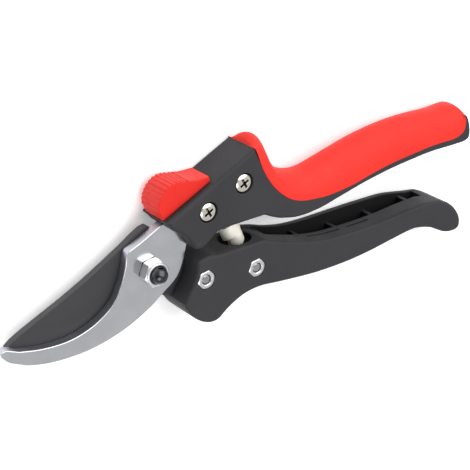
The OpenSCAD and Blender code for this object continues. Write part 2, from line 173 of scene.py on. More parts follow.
EDGE = smooth([(-60.6, -5.8, 0), (-58.4, -7.8, 0.25), (-53, -10.8, 0.8), (-47, -13, 1),
               (-40, -14.5, 1), (-33, -15, 1), (-26, -14.4, 0.7), (-19.5, -13, 0)], 6)
BLADE = (
    EDGE
    + weigh(smooth([(-12, -12.4), (-4, -12.8), (4, -14.6), (13, -18.8), (22, -21.2)], 3), 0)
    + weigh([(48, -23), (50.5, -21), (50.5, -15), (48.5, -13), (34, -12.9)], 0)
    + weigh(smooth([(27, -9.6), (20, -6.6), (14.6, -5), (12.3, -2.2)], 3), 0)
    + weigh(arc(12.5, 0, 58, 14), 0)
    + weigh([(5.4, 14.4), (4.2, 15.6), (1.6, 15.5)], 0)
    + weigh(smooth([(-2.6, 13.9), (-7.4, 11.8), (-16.9, 8.2), (-26.2, 4.9), (-35.3, 2.1),
                    (-44.2, -0.3), (-53, -2.7), (-57.6, -4.2)], 4), 0))


# ---------------------------------------------------------------- mesh helpers

def piece(name, verts, faces):
    """A new object from millimetre points."""
    mesh = bpy.data.meshes.new(name)
    mesh.from_pydata([Vector(v) * MM for v in verts], [], faces)
    mesh.validate()
    obj = bpy.data.objects.new(name, mesh)
    bpy.context.scene.collection.objects.link(obj)
    return obj


def loft(name, rings, joined=False):
    """Closed solid through rings of points, the first ring lowest: with flat ends, or with
    the last ring joined to the first."""
    n, count = len(rings[0]), len(rings)
    faces = [(k * n + i, k * n + (i + 1) % n,
              (k + 1) % count * n + (i + 1) % n, (k + 1) % count * n + i)
             for k in range(count if joined else count - 1) for i in range(n)]
    if not joined:
        top = (count - 1) * n
        faces += [tuple(range(n - 1, -1, -1)), tuple(range(top, top + n))]
    return piece(name, [v for ring in rings for v in ring], faces)


def at_height(flat, z):
    return [(p[0], p[1], z) for p in flat]


def edge_levels(z0, z1, lower, upper, steps=5):
    """(height, inset) pairs of a plate with both edges rounded to the given radii."""
    turns = [math.radians(90 * k / steps) for k in range(steps + 1)]
    rise = [(z0 + lower * (1 - math.cos(a)), lower * (1 - math.sin(a))) for a in turns]
    fall = [(z1 - upper * (1 - math.cos(a)), upper * (1 - math.sin(a))) for a in turns]
    return (rise if lower else rise[-1:]) + (fall[::-1] if upper else fall[-1:])


def plate(name, outline, z0, z1, lower=0.0, upper=0.0):
    return loft(name, [at_height(inset(outline, d), z)
                       for z, d in edge_levels(z0, z1, lower, upper)])


def lathe(name, profile, at=(0, 0), sides=48):
    """Solid of revolution round a Z axis: profile holds (radius, height), bottom to top."""
    rings = []
    for r, z in profile:
        rings.append([(at[0] + r * math.cos(2 * math.pi * k / sides),
                       at[1] + r * math.sin(2 * math.pi * k / sides), z)
                      for k in range(sides)])
    return loft(name, rings)


def hexagon(name, at, across, z0, z1):
    """Hexagonal prism, by its width across flats."""
    r = across / 2 / math.cos(math.pi / 6)
    ring = [(at[0] + r * math.cos(math.pi * k / 3), at[1] + r * math.sin(math.pi * k / 3))
            for k in range(6)]
    return loft(name, [at_height(ring, z0), at_height(ring, z1)])


def lean_box(name, low, high):
    """A block in the leaning axes, from (u, v, z) to (u, v, z)."""
    corners = [(low[0], low[1]), (high[0], low[1]), (high[0], high[1]), (low[0], high[1])]
    ring = [lean(*c) for c in corners]
    return loft(name, [at_height(ring, low[2]), at_height(ring, high[2])])


def settle(obj):
    """Turns the object's modifiers into mesh."""
    bpy.context.view_layer.update()
    graph = bpy.context.evaluated_depsgraph_get()
    mesh = bpy.data.meshes.new_from_object(obj.evaluated_get(graph))
    obj.modifiers.clear()
    old, obj.data = obj.data, mesh
    bpy.data.meshes.remove(old)
    mesh.name = obj.name


def combine(obj, tools, operation="DIFFERENCE"):
    for tool in tools:
        modifier = obj.modifiers.new("boolean", "BOOLEAN")
        modifier.operation = operation
        modifier.solver = "EXACT"
        modifier.object = tool
        settle(obj)
        mesh = tool.data
        bpy.data.objects.remove(tool)
        bpy.data.meshes.remove(mesh)


def clean(obj, distance=0.01):
    """Merges points closer than distance, removes faces with no area, closes small gaps and
    turns every face outwards."""
    bm = bmesh.new()
    bm.from_mesh(obj.data)
    bmesh.ops.remove_doubles(bm, verts=bm.verts, dist=distance * MM)
    bmesh.ops.dissolve_degenerate(bm, edges=bm.edges, dist=distance * MM)
    gaps = [edge for edge in bm.edges if edge.is_boundary]
    if gaps:
        bmesh.ops.holes_fill(bm, edges=gaps, sides=0)
        left = [edge for edge in bm.edges if edge.is_boundary]
        bmesh.ops.collapse(bm, edges=left)
    bmesh.ops.recalc_face_normals(bm, faces=bm.faces)
    if bm.calc_volume(signed=True) < 0:
        bmesh.ops.reverse_faces(bm, faces=bm.faces)
    bm.to_mesh(obj.data)
    bm.free()


def keep_within(obj, low, high):
    """Holds every point of the mesh inside a box."""
    for vertex in obj.data.vertices:
        vertex.co = [min(max(c, a), b) for c, a, b in zip(vertex.co, low, high)]


def finish(obj, body, material, edge=0.0, sharp=40, nodes=(), second=None):
    """Breaks the sharp edges, shades the piece and hands it to the frame. second holds
    another material and a test for the faces that take it."""
    clean(obj)
    if edge:
        points = [vertex.co for vertex in obj.data.vertices]
        low = [min(p[axis] for p in points) for axis in range(3)]
        high = [max(p[axis] for p in points) for axis in range(3)]
        bevel = obj.modifiers.new("edge break", "BEVEL")
        bevel.width = edge * MM
        bevel.segments = 2
        bevel.limit_method = "ANGLE"
        bevel.angle_limit = math.radians(38)
        bevel.use_clamp_overlap = False
        bevel.miter_outer = "MITER_ARC"
        settle(obj)
        keep_within(obj, low, high)
        clean(obj, 0.004)
    obj.data.shade_smooth()
    obj.data.set_sharp_from_angle(angle=math.radians(sharp))
    weights = obj.modifiers.new("flat faces stay flat", "WEIGHTED_NORMAL")
    weights.keep_sharp = True
    weights.weight = 70
    obj.data.materials.clear()
    obj.data.materials.append(material)
    if second:
        obj.data.materials.append(second[0])
        for face in obj.data.polygons:
            face.material_index = int(second[1](face))
    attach(obj, body)
    if nodes:
        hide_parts(*nodes)
    return obj


# ---------------------------------------------------------------- materials

class Surface:
    """A Principled material with helpers for the nodes that vary it."""

    def __init__(self, name, colour, **constants):
        self.material = bpy.data.materials.new(name)
        self.material.use_nodes = True
        self.nodes = self.material.node_tree.nodes
        self.links = self.material.node_tree.links
        self.shader = next(n for n in self.nodes if n.type == "BSDF_PRINCIPLED")
        self.colour = (*colour, 1)
        self.shader.inputs["Base Color"].default_value = self.colour
        for socket, value in constants.items():
            self.shader.inputs[socket.replace("_", " ")].default_value = value
        self.place = self.nodes.new("ShaderNodeTexCoord").outputs["Object"]

    def stretched(self, scale, turn=0.0):
        mapping = self.nodes.new("ShaderNodeMapping")
        mapping.inputs["Scale"].default_value = scale
        mapping.inputs["Rotation"].default_value = (0, 0, turn)
        self.links.new(self.place, mapping.inputs["Vector"])
        return mapping.outputs["Vector"]

    def noise(self, size_mm, detail=3.0, roughness=0.55, place=None):
        node = self.nodes.new("ShaderNodeTexNoise")
        node.inputs["Scale"].default_value = 1 / (size_mm * MM)
        node.inputs["Detail"].default_value = detail
        node.inputs["Roughness"].default_value = roughness
        self.links.new(place or self.place, node.inputs["Vector"])
        return node.outputs["Fac"]

    def spread(self, value, low, high, start=0.3, end=0.7):
        node = self.nodes.new("ShaderNodeMapRange")
        node.inputs["From Min"].default_value = start
        node.inputs["From Max"].default_value = end
        node.inputs["To Min"].default_value = low
        node.inputs["To Max"].default_value = high
        self.links.new(value, node.inputs["Value"])
        return node.outputs["Result"]

    def mix(self, factor, first, second):
        """Colour mix; first and second are colours or sockets."""
        node = self.nodes.new("ShaderNodeMix")
        node.data_type = "RGBA"
        self.links.new(factor, node.inputs["Factor"])
        for socket, value in ((node.inputs[6], first), (node.inputs[7], second)):
            if hasattr(value, "is_linked"):
                self.links.new(value, socket)
            else:
                socket.default_value = (*value[:3], 1)
        return node.outputs[2]

    def edges(self, width_mm):
        """0 on open faces, towards 1 within about width_mm of an edge."""
        bevel = self.nodes.new("ShaderNodeBevel")
        bevel.samples = 4
        bevel.inputs["Radius"].default_value = width_mm * MM
        geometry = self.nodes.new("ShaderNodeNewGeometry")
        dot = self.nodes.new("ShaderNodeVectorMath")
        dot.operation = "DOT_PRODUCT"
        self.links.new(bevel.outputs["Normal"], dot.inputs[0])
        self.links.new(geometry.outputs["Normal"], dot.inputs[1])
        return self.spread(dot.outputs["Value"], 1, 0, 0.8, 0.995)

    def painted_shade_mask(self, reach_mm, start=0.25, end=0.85):
        """1 in recesses narrower than the reach, 0 on open faces: the mask that paints shade into
        them.
        """
        node = self.nodes.new("ShaderNodeAmbientOcclusion")
        node.samples = 8
        node.inputs["Distance"].default_value = reach_mm * MM
        return self.spread(node.outputs["AO"], 1, 0, start, end)

    def paint(self, colour):
        self.links.new(colour, self.shader.inputs["Base Color"])

    def roughen(self, value):
        self.links.new(value, self.shader.inputs["Roughness"])

    def bump(self, height, depth_mm, strength=1.0):
        node = self.nodes.new("ShaderNodeBump")
        node.inputs["Strength"].default_value = strength
        node.inputs["Distance"].default_value = depth_mm * MM
        self.links.new(height, node.inputs["Height"])
        self.links.new(node.outputs["Normal"], self.shader.inputs["Normal"])


def tint(colour, factor):
    return tuple(min(1.0, c * factor) for c in colour)


def moulded(name, colour, roughness, grain_mm, grain_depth, wear=1.5, nook_shade=(3, 0.6),
            **constants):
    """Moulded plastic or rubber: fine grain, slow tone changes, paler rubbed edges and
    painted shade that darkens the recesses; nook holds that shade's reach in mm and its tone."""
    s = Surface(name, colour, **constants)
    tone = s.noise(22, 3)
    base = s.mix(s.spread(tone, 0, 1), tint(colour, 0.93), tint(colour, 1.07))
    rubbed = s.nodes.new("ShaderNodeMath")
    rubbed.operation = "MULTIPLY"
    s.links.new(s.edges(0.5), rubbed.inputs[0])
    s.links.new(s.spread(s.noise(3.5, 4), 0.1, 0.75), rubbed.inputs[1])
    worn = s.mix(rubbed.outputs[0], base, tint(colour, wear))
    # painted shade: recesses darkened towards the nook tone by ambient occlusion
    s.paint(s.mix(s.painted_shade_mask(nook_shade[0]), worn, tint(colour, nook_shade[1])))
    s.roughen(s.spread(s.noise(6, 5), roughness - 0.06, roughness + 0.06))
    s.bump(s.noise(grain_mm, 2), grain_depth, 0.5)
    return s.material


def ground_metal(name, colour, roughness, line_scale=(1, 1, 1), turn=0.0, depth=0.004,
                 worn=1.08, nook_shade=(1.2, (0.1, 0.08, 0.06)), **constants):
    """Metal with fine grinding lines, cloudy gloss, slightly brighter edges and painted
    shade that darkens the recesses; nook holds that shade's reach in mm and its colour."""
    s = Surface(name, colour, **{"Metallic": 1.0, **constants})
    lines = s.noise(0.5, 2, 0.6, place=s.stretched(line_scale, turn))
    clouds = s.noise(9, 4)
    base = s.mix(s.spread(clouds, 0, 1), tint(colour, 0.95), tint(colour, 1.03))
    bright = s.mix(s.edges(0.3), base, tint(colour, worn))
    # painted shade: recesses darkened towards the nook colour by ambient occlusion
    s.paint(s.mix(s.painted_shade_mask(nook_shade[0], 0.1, 0.6), bright, nook_shade[1]))
    s.roughen(s.spread(clouds, roughness - 0.04, roughness + 0.05))
    s.bump(lines, depth, 0.35)
    return s.material


BLACK_NYLON = moulded("black_nylon", (0.038, 0.038, 0.041), 0.55, 0.35, 0.02, wear=2.0,
                      Specular_IOR_Level=0.16)
# a darker copy of the black nylon: painted shade for the faces inside the lower handle's pockets
SHADED_POCKET_NYLON = moulded("black_nylon_painted_pocket_shade", (0.009, 0.009, 0.01), 0.62, 0.35, 0.02, wear=1.5,
                     Specular_IOR_Level=0.15)
RED_GRIP = moulded("red_soft_grip", (0.75, 0.024, 0.014), 0.58, 0.3, 0.015, wear=1.05,
                   Specular_IOR_Level=0.28)
RED_HARD = moulded("red_slider", (0.68, 0.018, 0.01), 0.48, 0.5, 0.012, wear=1.08,
                   Specular_IOR_Level=0.3)
JAW_STEEL = ground_metal("jaw_steel", (0.66, 0.67, 0.7), 0.2, (1, 14, 1), 0.5)
# rougher blanked finish for the hook's side faces, with a darker bluish colour that is painted
# shade and reflection
BLANKED_SHADED_STEEL = ground_metal("blanked_steel_painted_shade", (0.5, 0.5, 0.56), 0.36, (9, 9, 1), 0.0, 0.02)
COATING = moulded("black_coating", (0.04, 0.04, 0.043), 0.42, 0.4, 0.004, wear=2.5,
                  IOR=1.4)
NICKEL = ground_metal("nickel", (0.82, 0.79, 0.71), 0.2, (3, 3, 3))
ZINC = ground_metal("bright_zinc", (0.76, 0.77, 0.79), 0.34, (4, 4, 4))
DARK_STEEL = ground_metal("dark_bolt_steel", (0.07, 0.07, 0.075), 0.22, (6, 6, 6), worn=2.0)
# dark brown steel for the walls of the screws' cross recess: painted shade
SHADED_RECESS_STEEL = ground_metal("recess_steel_painted_shade", (0.09, 0.075, 0.055), 0.45, (6, 6, 6), worn=2.5)
GREY_STEEL = ground_metal("grey_bolt_steel", (0.42, 0.42, 0.43), 0.3, (4, 4, 4))
# the spring's recesses take a light painted shade
SPRING_NICKEL = ground_metal("spring_nickel", (0.93, 0.89, 0.79), 0.5, (1, 1, 9),
                             nook_shade=(0.3, (0.4, 0.35, 0.27)), Metallic=0.2)
NYLON_RING = moulded("nylon_ring", (0.75, 0.75, 0.7), 0.45, 0.5, 0.01, wear=1.0)


# ---------------------------------------------------------------- upper half

def spring_pocket(name):
    """The round pocket that takes the spring's ends, along the line between its seats."""
    a, b = Vector((*SEAT_UP, MID_Z)), Vector((*SEAT_LOW, MID_Z))
    pocket = lathe(name, [(SPRING_POCKET_R, 0), (SPRING_POCKET_R, (b - a).length)])
    turn = (b - a).to_track_quat("Z", "Y").to_matrix().to_4x4()
    pocket.data.transform(Matrix.Translation(a * MM) @ turn)
    return pocket


def upper_core():
    core = plate("upper_core", UPPER, BACK_Z, FRONT_Z, 1.5, 1.5)
    latch_top = HOOK_Z0 + 0.3
    cuts = [
        plate("hook_slot", inset(HOOK, -0.05), HOOK_Z0 - 0.04, HOOK_Z1 + 0.04),
        lean_box("latch_slot", (14.7, 0.7, BLADE_Z0 - 0.3), (26.5, TOP_V + 1, latch_top)),
        lean_box("guide_groove", (14.7, TOP_V - 1.4, 8.9), (35.3, TOP_V + 1, 12)),
        spring_pocket("spring_pocket"),
    ]
    for i, at in enumerate(UPPER_SCREWS):
        cuts += [
            lathe(f"bore_{i}", [(SCREW_BORE, -1), (SCREW_BORE, FRONT_Z + 1)], at, 32),
            lathe(f"counterbore_{i}", [(4.05, FRONT_Z - 2.6), (4.05, FRONT_Z - 0.35),
                                       (4.5, FRONT_Z + 0.1), (4.5, FRONT_Z + 1)], at),
            hexagon(f"nut_pocket_{i}", at, NUT_AF + 0.1, -1, 4),
        ]
    combine(core, cuts)
    return finish(core, "upper_half", BLACK_NYLON, edge=0.22,
                  nodes=["upper_handle"])


# matching stations of the grip: seam on the side face, then crest at mid thickness
GRIP_STATIONS = (
    (50.0, 31.75, 50.2, 31.9), (50.7, 28.4, 50.8, 33.6), (51.3, 25.1, 52.6, 34.7),
    (52.2, 21.5, 54.8, 34), (53.5, 17.8, 56.3, 32.2), (55.3, 14, 57.1, 29.3),
    (57.6, 10.4, 57.5, 26), (60.4, 7, 59.2, 21.3), (63.5, 4.3, 62.3, 16.7),
    (68, 1.9, 66.4, 13.8), (73, 0.4, 71, 11.9), (77.8, -0.7, 75.4, 11.3),
    (82.9, -1.4, 80, 11.6), (93.3, -1.8, 89, 12.6), (104, -1.1, 99.5, 13.6),
    (114.8, -0.9, 110, 13.9), (125.7, -1.4, 120.8, 13.4), (136.8, -2.1, 131.5, 12),
    (148, -3.7, 142.8, 9.8), (152.4, -3.3, 148, 9.2), (154.8, -1.8, 152.4, 8.7),
    (155.8, 1.2, 155.2, 7.8), (155.7, 3, 156, 6.3), (155.4, 4.3, 155.7, 4.9))
GRIP_POWER = 2.0                 # of the section's superellipse: 2 is an ellipse
GRIP_END_X, GRIP_END_RUN = 138.0, 16.0
GRIP_END_FULLER = 0.15           # added to the power over the run behind GRIP_END_X


def soft_grip():
    """Sleeve over the core: each cross-section is a superellipse from seam to seam."""
    sides = 32
    rows = []
    for px, py, cx, cy in smooth(GRIP_STATIONS, 6):
        row = []
        near_end = max(0.0, min(1.0, (px - GRIP_END_X) / GRIP_END_RUN))
        power = GRIP_POWER + GRIP_END_FULLER * near_end
        for k in range(sides + 1):
            a = math.pi * k / sides
            across = -math.copysign(abs(math.cos(a)) ** (2 / power), math.cos(a))
            up = math.sin(a) ** (2 / power)
            row.append((px + (cx - px) * up, py + (cy - py) * up, MID_Z + MID_Z * across))
        rows.append(row)
    n = sides + 1
    faces = [(r * n + k, r * n + (k + 1) % n, (r + 1) * n + (k + 1) % n, (r + 1) * n + k)
             for r in range(len(rows) - 1) for k in range(n)]
    faces += [tuple(range(n - 1, -1, -1)),
              tuple((len(rows) - 1) * n + k for k in range(n))]
    grip = piece("soft_grip", [v for row in rows for v in row], faces)
    return finish(grip, "upper_half", RED_GRIP, nodes=["upper_grip"])


def hook_plate():
    hook = plate("hook_plate", HOOK, HOOK_Z0, HOOK_Z1, 0.2, 0.35)
    combine(hook, [lathe("bore", [(PIVOT_R + 0.1, 0), (PIVOT_R + 0.1, 20)])]
            + [lathe("bore", [(JAW_BORE, 0), (JAW_BORE, 20)], at, 32) for at in UPPER_SCREWS])
    # the side faces take the blanked steel, its darker colour partly painted shade
    return finish(hook, "upper_half", JAW_STEEL, nodes=["hook_jaw"],
                  second=(BLANKED_SHADED_STEEL, lambda face: abs(face.normal.z) < 0.3))


def pan_screw(name, at, z0, z1, node):
    """Cross-recess screw with a low rounded head."""
    shank, head = SCREW_R, SCREW_HEAD_R
    profile = [(shank, z0), (shank, z1 - 2.6), (head - 0.15, z1 - 2.6), (head, z1 - 2.4),
               (head, z1 - 1.2)]
    for k in range(1, 7):
        a = math.radians(90 * k / 6)
        profile.append((0.4 + (head - 0.4) * math.cos(a) ** 0.55, z1 - 1.2 + 1.2 * math.sin(a)))
    screw = lathe(name, profile, at)
    arms = []
    for turn in (20, 110):
        length, depth = 2.2, 1.9
        ring = [(-length, 0.5), (-length, -0.5), (length, -0.5), (length, 0.5)]
        tip = [(-0.9, 0.35), (-0.9, -0.35), (0.9, -0.35), (0.9, 0.35)]
        spin = Matrix.Rotation(math.radians(turn), 2)
        put = lambda pts, z: at_height([Vector(at) + spin @ Vector(p) for p in pts], z)
        arms.append(loft("recess", [put(tip, z1 - depth), put(ring, z1 + 0.1)]))
    combine(screw, arms)
    middle = Vector(at) * MM

    def in_recess(face):
        return ((face.center.xy - middle).length < 2.4 * MM and face.normal.z < 0.8
                and z1 - 2 < face.center.z / MM < z1)

    # the recess walls take the dark steel as painted shade
    return finish(screw, "upper_half", NICKEL, edge=0.06, nodes=[node],
                  second=(SHADED_RECESS_STEEL, in_recess))


def hex_nut(name, at, across, bore, z0, z1, body, material, node, collar=()):
    """Nut with its corners turned to a cone at both ends and a lead-in at both ends of the
    bore; collar holds the (radius, height) pairs of a ring on top of it."""
    steps, flat = 72, across / 2
    angles = [2 * math.pi * k / steps for k in range(steps)]
    sides = [flat / math.cos(a % (math.pi / 3) - math.pi / 6) for a in angles]
    cone = [0.1 + 0.6 * (r - flat) for r in sides]

    def ring(radii, heights):
        return [(at[0] + r * math.cos(a), at[1] + r * math.sin(a), z)
                for a, r, z in zip(angles, radii, heights)]

    def circle(r, z):
        return ring([r] * steps, [z] * steps)

    top = collar[-1][1] if collar else z1
    rings = [circle(flat - 0.15, z0), ring(sides, [z0 + c for c in cone]),
             ring(sides, [z1 - c for c in cone]), circle(flat - 0.15, z1)]
    rings += [circle(r, z) for r, z in collar]
    rings += [circle(bore + 0.3, top), circle(bore, top - 0.3), circle(bore, z0 + 0.3),
              circle(bore + 0.3, z0)]
    nut = loft(name, rings, joined=True)
    return finish(nut, body, material, edge=0.07, nodes=[node])


def pivot():
    r = PIVOT_R
    head = hexagon("pivot_bolt_head", (0, 0), PIVOT_HEAD_AF, HEAD_Z0, WASHER_Z0)
    combine(head, [lathe("turned", [(5.3, HEAD_Z0 - 0.1), (6.4, HEAD_Z0 + 0.7),
                                    (6.4, WASHER_Z0 + 0.1)], (0, 0), 64)], "INTERSECT")
    ball = [(r * math.cos(math.radians(a)), BOLT_Z1 - r + r * math.sin(math.radians(a)))
            for a in range(0, 88, 6)]
    combine(head, [lathe("shank", [(r, WASHER_Z0 - 0.5)] + ball)], "UNION")
    finish(head, "upper_half", DARK_STEEL, edge=0.1, nodes=["pivot_bolt"])
    washer = lathe("pivot_washer_disc", [(6.8, WASHER_Z0), (7, WASHER_Z0 + 0.2),
                                         (7, BLADE_Z0 - 0.25), (6.8, BLADE_Z0 - 0.05)])
    combine(washer, [lathe("bore", [(PIVOT_BORE, 0), (PIVOT_BORE, 9)])])
    finish(washer, "upper_half", GREY_STEEL, nodes=["pivot_washer"])
    base = NUT_Z0 + 4.4
    # a fine groove, then the rolled ring that holds the insert
    collar = [(4.3, base + 0.05), (4.3, base + 0.2), (4.62, base + 0.3),
              (4.65, NUT_Z1 - 0.4), (4.5, NUT_Z1 - 0.12), (4.2, NUT_Z1)]
    hex_nut("pivot_lock_nut", (0, 0), PIVOT_NUT_AF, r + 0.02, NUT_Z0, base, "upper_half", ZINC,
            "pivot_nut", collar=collar)
    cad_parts["pivot_nut_insert"].data.materials.clear()
    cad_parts["pivot_nut_insert"].data.materials.append(NYLON_RING)


# ---------------------------------------------------------------- lock

SLIDER_LINE = smooth([(12.3, 19.2), (13, 21.3), (15.1, 23.8), (18.2, 25.6), (21.6, 26.1),
                      (24.5, 25.2), (27.9, 22.9), (31.3, 20.4), (36.6, 17.8)], 16)


RIDGES = 11
SERRATED_RUN = 20.5              # length of the line that carries them
GROOVE_DEPTH = 0.42


def lock_slider():
    """Thumb slider: cross ridges over its front and crest, smooth slope behind."""
    run = [0.0]
    for a, b in zip(SLIDER_LINE, SLIDER_LINE[1:]):
        run.append(run[-1] + math.dist(a, b))
    sole = TOP_V + 0.15
    outline = [(12.5, sole, 0)]
    for p, s in zip(SLIDER_LINE, run):
        # broad rounded ridges between narrow grooves
        turns = math.pi * RIDGES * s / SERRATED_RUN
        groove = 1 - abs(math.sin(turns)) if s < SERRATED_RUN else 0
        outline.append((p[0], p[1], groove))
    outline.append((36.4, sole, 0))
    outline = outline[::-1]
    rings = []
    half = (SLIDER_Z1 - SLIDER_Z0) / 2
    middle = (SLIDER_Z1 + SLIDER_Z0) / 2
    for z, shrink in ((-half, 0.5), (-half + 0.15, 0.2), (-half + 0.5, 0),
                      (half - 0.5, 0), (half - 0.15, 0.2), (half, 0.5)):
        base = inset([(u, v, 1) for u, v, _ in outline], shrink)
        down = inset([(u, v, 1) for u, v, _ in outline], shrink + GROOVE_DEPTH)
        ring = []
        for (u, v, w), p, q in zip(outline, base, down):
            t = Vector(p).lerp(Vector(q), w)
            # the foot stays flat on the handle and covers the detent ball
            stand = sole if v == sole else max(t.y, sole)
            ring.append((*lean(t.x, stand), middle + z))
        rings.append(ring)
    slider = loft("thumb_slider", rings)
    combine(slider, [lean_box("rib", (15, TOP_V - 1.2, 9.2), (27, TOP_V + 2, 11.7))], "UNION")
    return finish(slider, "lock", RED_HARD, sharp=50, nodes=["lock_slider"])


# ---------------------------------------------------------------- lower half

LOWER_START = (
    weigh(arc(17.6, -8, -50, 10), 1) + weigh([(8.4, -17.4)], 0.6)
    + weigh(smooth([(8.6, -19.4), (10, -22.5), (12.2, -25.6), (15, -28.4), (18, -30.1),
                    (20.7, -30.5), (22.8, -30), (25.4, -28.6), (28.1, -27.4),
                    (33.2, -25.8), (38.2, -25.3), (44, -25.9), (52.6, -28.2),
                    (67.3, -31.8), (77.5, -33.6), (88, -34.9), (98.8, -35.5),
                    (109.8, -35.5), (121.1, -35.7), (126.6, -37), (132.1, -39.5),
                    (136.4, -42.7), (139.3, -44.8), (142.7, -46.2), (146.4, -46.6),
                    (148.4, -44.9), (148.6, -41), (146.5, -36.2), (143.2, -32.3),
                    (138.4, -29)], 4), 1))
BACK_RIM = [(131, -26.7), (120.4, -23.2), (109.4, -21.2), (98.7, -19.5), (88.2, -18),
            (77.8, -16.5), (67.7, -14.4), (59, -11.2), (53.5, -8.4), (47.8, -6)]
FRONT_RIM = [(131, -26.9), (120.4, -25.8), (109.4, -25), (98.7, -23.7), (88.2, -22),
             (77.8, -19.9), (67.7, -16.5), (59, -12.6), (53.5, -9.8), (47.8, -6.6)]
LOWER_END = weigh(smooth([(40, -5.3), (28.1, -3.7), (23.5, -2.2), (20.5, -2.1)], 4), 1)
FLOOR_LINE = smooth([(136, -34.5), (128, -33), (121, -32.4), (109.8, -32.3), (98.8, -32.3),
                     (88, -31.7), (77.5, -30.3), (67.3, -28.4), (58, -25.4)], 4)
WALL = 3.0                       # thickness of the tall back wall
POCKET = 6.0                     # width of the pockets beside it
POCKETS_FROM, POCKETS_TO = 54.5, 134.5
RIBS, RIB = 4, 1.8               # their number and thickness
RIB_SLANT = math.tan(math.radians(14))


def lower_outline(rim):
    return LOWER_START + weigh(smooth(rim, 4), 0.6) + LOWER_END


def lower_body():
    back, front = lower_outline(BACK_RIM), lower_outline(FRONT_RIM)
    rim_only = (weigh(LOWER_START, 0) + weigh(smooth(BACK_RIM, 4), 1) + weigh(LOWER_END, 0))
    step = BACK_Z + WALL
    rings = [at_height(inset(back, d), z) for z, d in edge_levels(BACK_Z, step, 1.5, 0)[:-1]]
    rings += [at_height(inset(rim_only, d), z)
              for z, d in edge_levels(BACK_Z, step, 0, 0.5, 3)[1:]]
    rings += [at_height(inset(front, d), z)
              for z, d in edge_levels(step + 0.02, FRONT_Z, 0, 1.5)]
    body = loft("lower_body", rings)
    cuts = [plate("blade_slot", [(x, y, 1) for x, y, _ in BLADE], BLADE_Z0 - 0.04,
                  BLADE_Z1 + 0.04),
            spring_pocket("spring_pocket")]
    z0, z1 = BACK_Z + WALL, BACK_Z + WALL + POCKET
    rim = smooth(FRONT_RIM, 4)
    start, end = POCKETS_FROM, POCKETS_TO

    def height(line, x):
        for (ax, ay), (bx, by) in zip(line, line[1:]):
            if min(ax, bx) <= x <= max(ax, bx):
                return ay + (by - ay) * (x - ax) / (bx - ax)
        return line[0][1] if x > line[0][0] else line[-1][1]

    def leaning(line, x, rise=0.0):
        """Where a wall that crosses y = 0 at x and leans with the ribs meets the line."""
        y = height(line, x)
        for _ in range(4):
            y = height(line, x + RIB_SLANT * y) + rise
        return x + RIB_SLANT * y, y

    # one deep pocket between each two ribs
    walls = [start + 3] + [start + (end - start) / RIBS * k for k in range(1, RIBS + 1)]
    walls.append(end + 8)
    for k, (a, b) in enumerate(zip(walls, walls[1:])):
        a, b = a + (RIB / 2 if k else 0), b - (RIB / 2 if k < RIBS else 0)
        xs = [a + (b - a) * i / 10 for i in range(11)]
        bottom = [leaning(FLOOR_LINE, x) for x in xs]
        top = [leaning(rim, x, 2) for x in xs]
        cuts.append(plate(f"pocket_{k}", bottom + top[::-1], z0, z1))
    # the ribs' tops lie just under the land
    xs = [start - 1 + (end + 1 - start) * i / 40 for i in range(41)]
    low = [(x, height(rim, x) - 0.6) for x in xs]
    high = [(x, height(rim, x) + 8) for x in xs]
    cuts.append(plate("rib_tops", low + high[::-1], z0, z1))
    # two narrow slots along the land
    for k, (a, b) in enumerate(((71.4, 87.9), (91.5, 103.2))):
        xs = [a + (b - a) * i / 8 for i in range(9)]
        low = [(x, height(rim, x) - 3.5) for x in xs]
        high = [(x, height(rim, x) + 1.5) for x in xs]
        cuts.append(plate(f"slot_{k}", low + high[::-1], FRONT_Z - 6.4, FRONT_Z - 5.4))
    for i, at in enumerate(LOWER_BOLTS):
        cuts += [
            lathe(f"bore_{i}", [(SCREW_BORE, -1), (SCREW_BORE, FRONT_Z + 1)], at, 32),
            lathe(f"head_pocket_{i}", [(4, -1), (4, 3)], at),
            hexagon(f"nut_pocket_{i}", at, NUT_AF + 0.15, FRONT_Z - 3.3, FRONT_Z + 1),
        ]
    combine(body, cuts)

    def in_shaded_pocket(face):
        x, y, z = face.center / MM
        if not (start - 3 < x < end + 6 and z0 - 0.05 < z < z1 + 0.05):
            return False
        rib_top = face.normal.y > 0.5 and y > height(rim, x) - 1.5
        return y > height(FLOOR_LINE, x) - 0.3 and not rib_top

    # the pocket faces take the darker nylon as painted shade
    return finish(body, "lower_half", BLACK_NYLON, edge=0.25,
                  nodes=["lower_handle"], second=(SHADED_POCKET_NYLON, in_shaded_pocket))


def cutting_blade():
    rings = [at_height(inset(BLADE, 3.5), BLADE_Z0), at_height(inset(BLADE, 0.3), BLADE_Z1 - 0.3),
             at_height(inset(BLADE, 0), BLADE_Z1 - 0.1), at_height(inset(BLADE, 0), BLADE_Z1)]
    blade = loft("blade", rings)
    combine(blade, [lathe("bore", [(PIVOT_BORE, 0), (PIVOT_BORE, 20)])]
            + [lathe("bore", [(JAW_BORE, 0), (JAW_BORE, 20)], at, 32) for at in LOWER_BOLTS])
    return finish(blade, "lower_half", COATING, edge=0.15,
                  nodes=["cutting_blade"])


def lower_fasteners():
    for place, at in zip(("front", "rear"), LOWER_BOLTS):
        node = f"lower_bolt_{place}"
        z0, z1 = levels(node)
        bolt = lathe(f"clamp_bolt_{place}", [
            (SCREW_HEAD_R - 0.3, z0), (SCREW_HEAD_R, z0 + 0.3), (SCREW_HEAD_R, z0 + 2.4),
            (SCREW_R, z0 + 2.4), (SCREW_R, z1 - 0.5), (SCREW_R - 0.5, z1)], at)
        combine(bolt, [hexagon("socket", at, 2.5, z0 - 1, z0 + 1.4)])
        finish(bolt, "lower_half", GREY_STEEL, edge=0.08, nodes=[node])
        nut = f"lower_nut_{place}"
        n0, n1 = levels(nut)
        hex_nut(f"clamp_nut_{place}", at, NUT_AF, JAW_BORE, n0, n1, "lower_half", ZINC,
                nut)


# ---------------------------------------------------------------- spring

